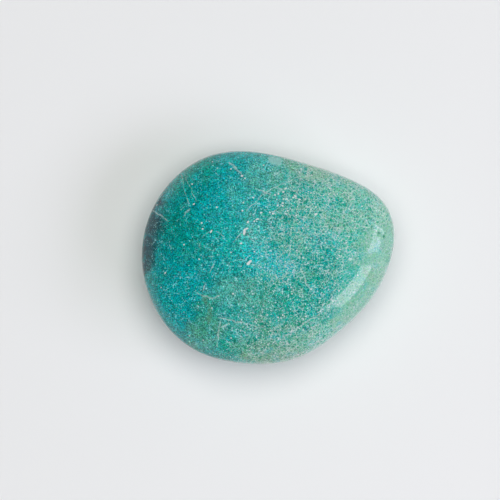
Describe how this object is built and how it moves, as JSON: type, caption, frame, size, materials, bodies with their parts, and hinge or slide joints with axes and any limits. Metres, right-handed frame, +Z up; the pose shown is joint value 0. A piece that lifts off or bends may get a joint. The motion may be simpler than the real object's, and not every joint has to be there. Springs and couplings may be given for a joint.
{
  "type": "tumbled chrysocolla stone",
  "caption": "Egg-shaped pebble of blue-green chrysocolla, tumbled smooth and polished all over, with a small flat spot on its underside to rest on.",
  "frame": {"origin": "on the surface that the stone rests on, under the middle of its length and width", "axes": "+X along its length, from the round end to the blunt corner; +Z up, out of the broad crown"},
  "size_m": [0.03, 0.0254, 0.012],
  "materials": {
    "chrysocolla": "tumbled and polished, glossy"
  },
  "bodies": {
    "root": {"chrysocolla_stone": "chrysocolla"}
  },
  "joints": []
}
